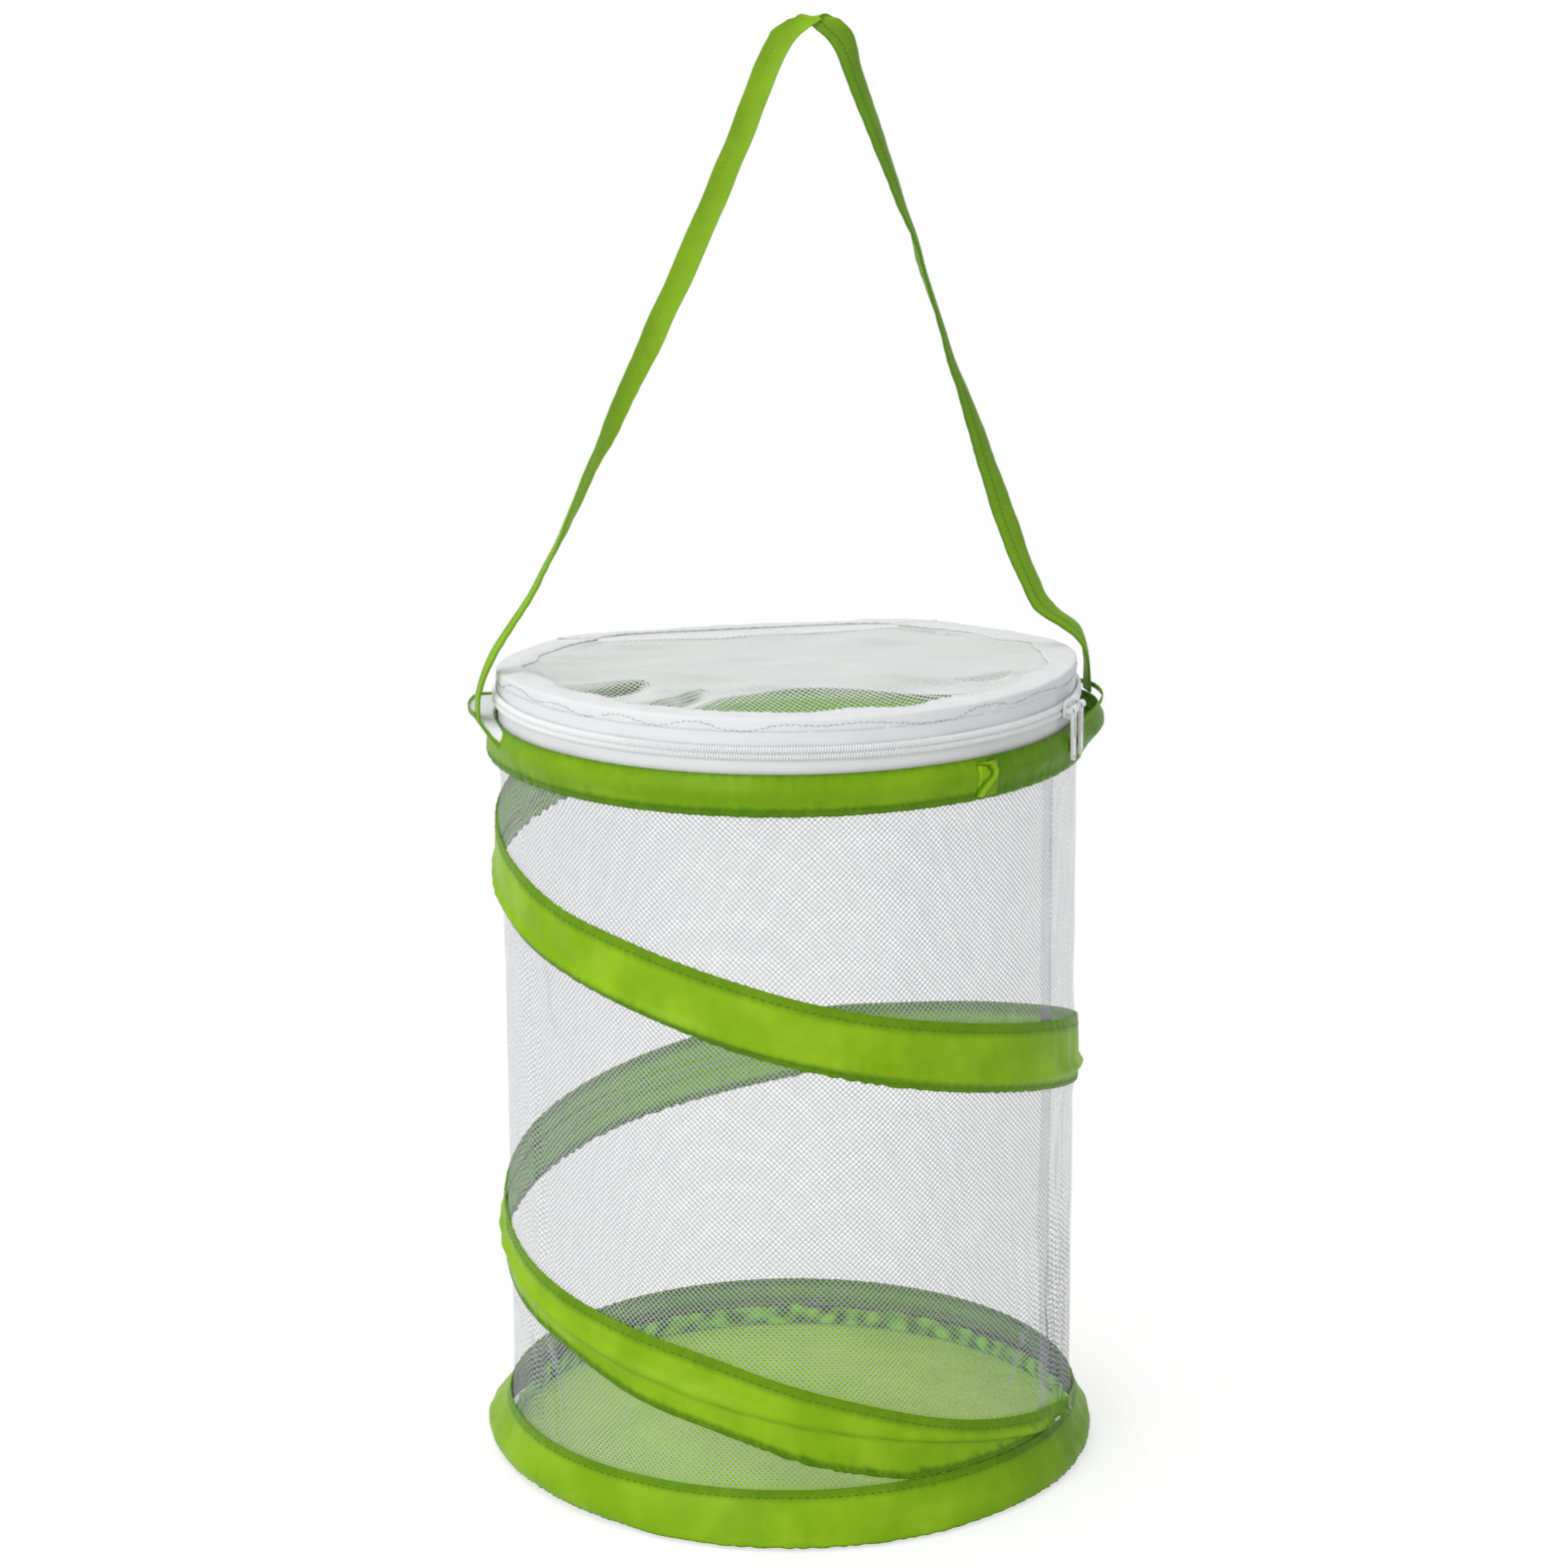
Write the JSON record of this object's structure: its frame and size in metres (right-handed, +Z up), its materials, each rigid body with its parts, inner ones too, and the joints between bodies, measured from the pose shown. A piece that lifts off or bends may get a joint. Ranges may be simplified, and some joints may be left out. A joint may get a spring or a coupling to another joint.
{
  "type": "collapsible insect cage",
  "caption": "Round pop-up insect cage with a mesh wall on a wound spring, hooped cloth ends, a zipped mesh lid with fold-back hinge and a webbing carry strap.",
  "frame": {"origin": "Middle of the floor's underside, on the surface that the cage stands on", "axes": "+Z is up. +X runs to the handle's right-hand root as the picture shows it, -Y is the front, and the lid folds open towards +Y"},
  "size_m": [0.23, 0.2242, 0.5273],
  "materials": {
    "green_cloth": "satin woven nylon",
    "floor_cloth": "woven, matt",
    "white_net": "fine knitted net",
    "white_tape": "woven tape",
    "strap_webbing": "ribbed webbing",
    "coil_nylon": "smooth",
    "white_enamel": "glossy enamel",
    "spring_steel": "drawn wire",
    "clear_vinyl": "smooth"
  },
  "bodies": {
    "base": {"floor_panel": "floor_cloth", "floor_hem": "green_cloth", "base_hoop": "spring_steel", "base_sleeve": "green_cloth", "wall_mesh": "white_net", "wall_seam": "white_net", "spiral_sleeve": "green_cloth", "spiral_wire": "spring_steel", "spiral_tip_top": "clear_vinyl", "spiral_tip_bottom": "clear_vinyl"},
    "rim": {"rim_hoop": "spring_steel", "rim_sleeve": "green_cloth", "rim_sleeve_tuck": "green_cloth", "zip_tape_lower": "white_tape", "zip_coil_lower": "coil_nylon", "zip_stop_right": "white_enamel", "zip_stop_left": "white_enamel", "rear_band": "white_tape", "rear_panel": "white_net", "rear_hem": "white_tape", "strap_ear_right": "green_cloth", "strap_ear_left": "green_cloth"},
    "lid": {"lid_mesh": "white_net", "lid_hem": "white_tape", "lid_hem_leg": "white_tape", "zip_tape_upper": "white_tape", "zip_coil_upper": "coil_nylon"},
    "handle": {"handle_strap": "strap_webbing"},
    "slider_a": {"slider_a": "white_enamel"},
    "pull_a": {"pull_a": "white_enamel"},
    "slider_b": {"slider_b": "white_enamel"},
    "pull_b": {"pull_b": "white_enamel"}
  },
  "joints": [
    {"name": "collapse", "type": "slide", "parent": "base", "child": "rim", "axis": [0, 0, 1], "range_m": [-0.24, 0], "stiffness_N_per_m": 20, "springref_m": 0.05, "deforming": ["wall_mesh", "wall_seam", "spiral_sleeve", "spiral_wire", "spiral_tip_top", "spiral_tip_bottom"]},
    {"name": "lid_fold", "type": "hinge", "parent": "rim", "child": "lid", "pos_m": [0, 0.07418, 0.293], "axis": [-1, 0, 0], "range_deg": [0, 110], "deforming": ["handle_strap"]},
    {"name": "handle_swing", "type": "hinge", "parent": "rim", "child": "handle", "pos_m": [0, 0, 0.2803], "axis": [1, 0, 0], "range_deg": [-35, 30], "stiffness_Nm_per_rad": 0.04, "deforming": ["strap_ear_left", "strap_ear_right"]},
    {"name": "slider_a_travel", "type": "hinge", "parent": "rim", "child": "slider_a", "pos_m": [0, 0, 0.2872], "axis": [0, 0, 1], "range_deg": [-187, 0]},
    {"name": "slider_b_travel", "type": "hinge", "parent": "rim", "child": "slider_b", "pos_m": [0, 0, 0.2872], "axis": [0, 0, 1], "range_deg": [0, 69]},
    {"name": "pull_a_swing", "type": "hinge", "parent": "slider_a", "child": "pull_a", "pos_m": [0.09152, -0.06039, 0.2872], "axis": [-0.5507, -0.8347, 0], "range_deg": [0, 150]},
    {"name": "pull_b_swing", "type": "hinge", "parent": "slider_b", "child": "pull_b", "pos_m": [0.09629, -0.05246, 0.2872], "axis": [-0.4784, -0.8781, 0], "range_deg": [0, 150]}
  ]
}
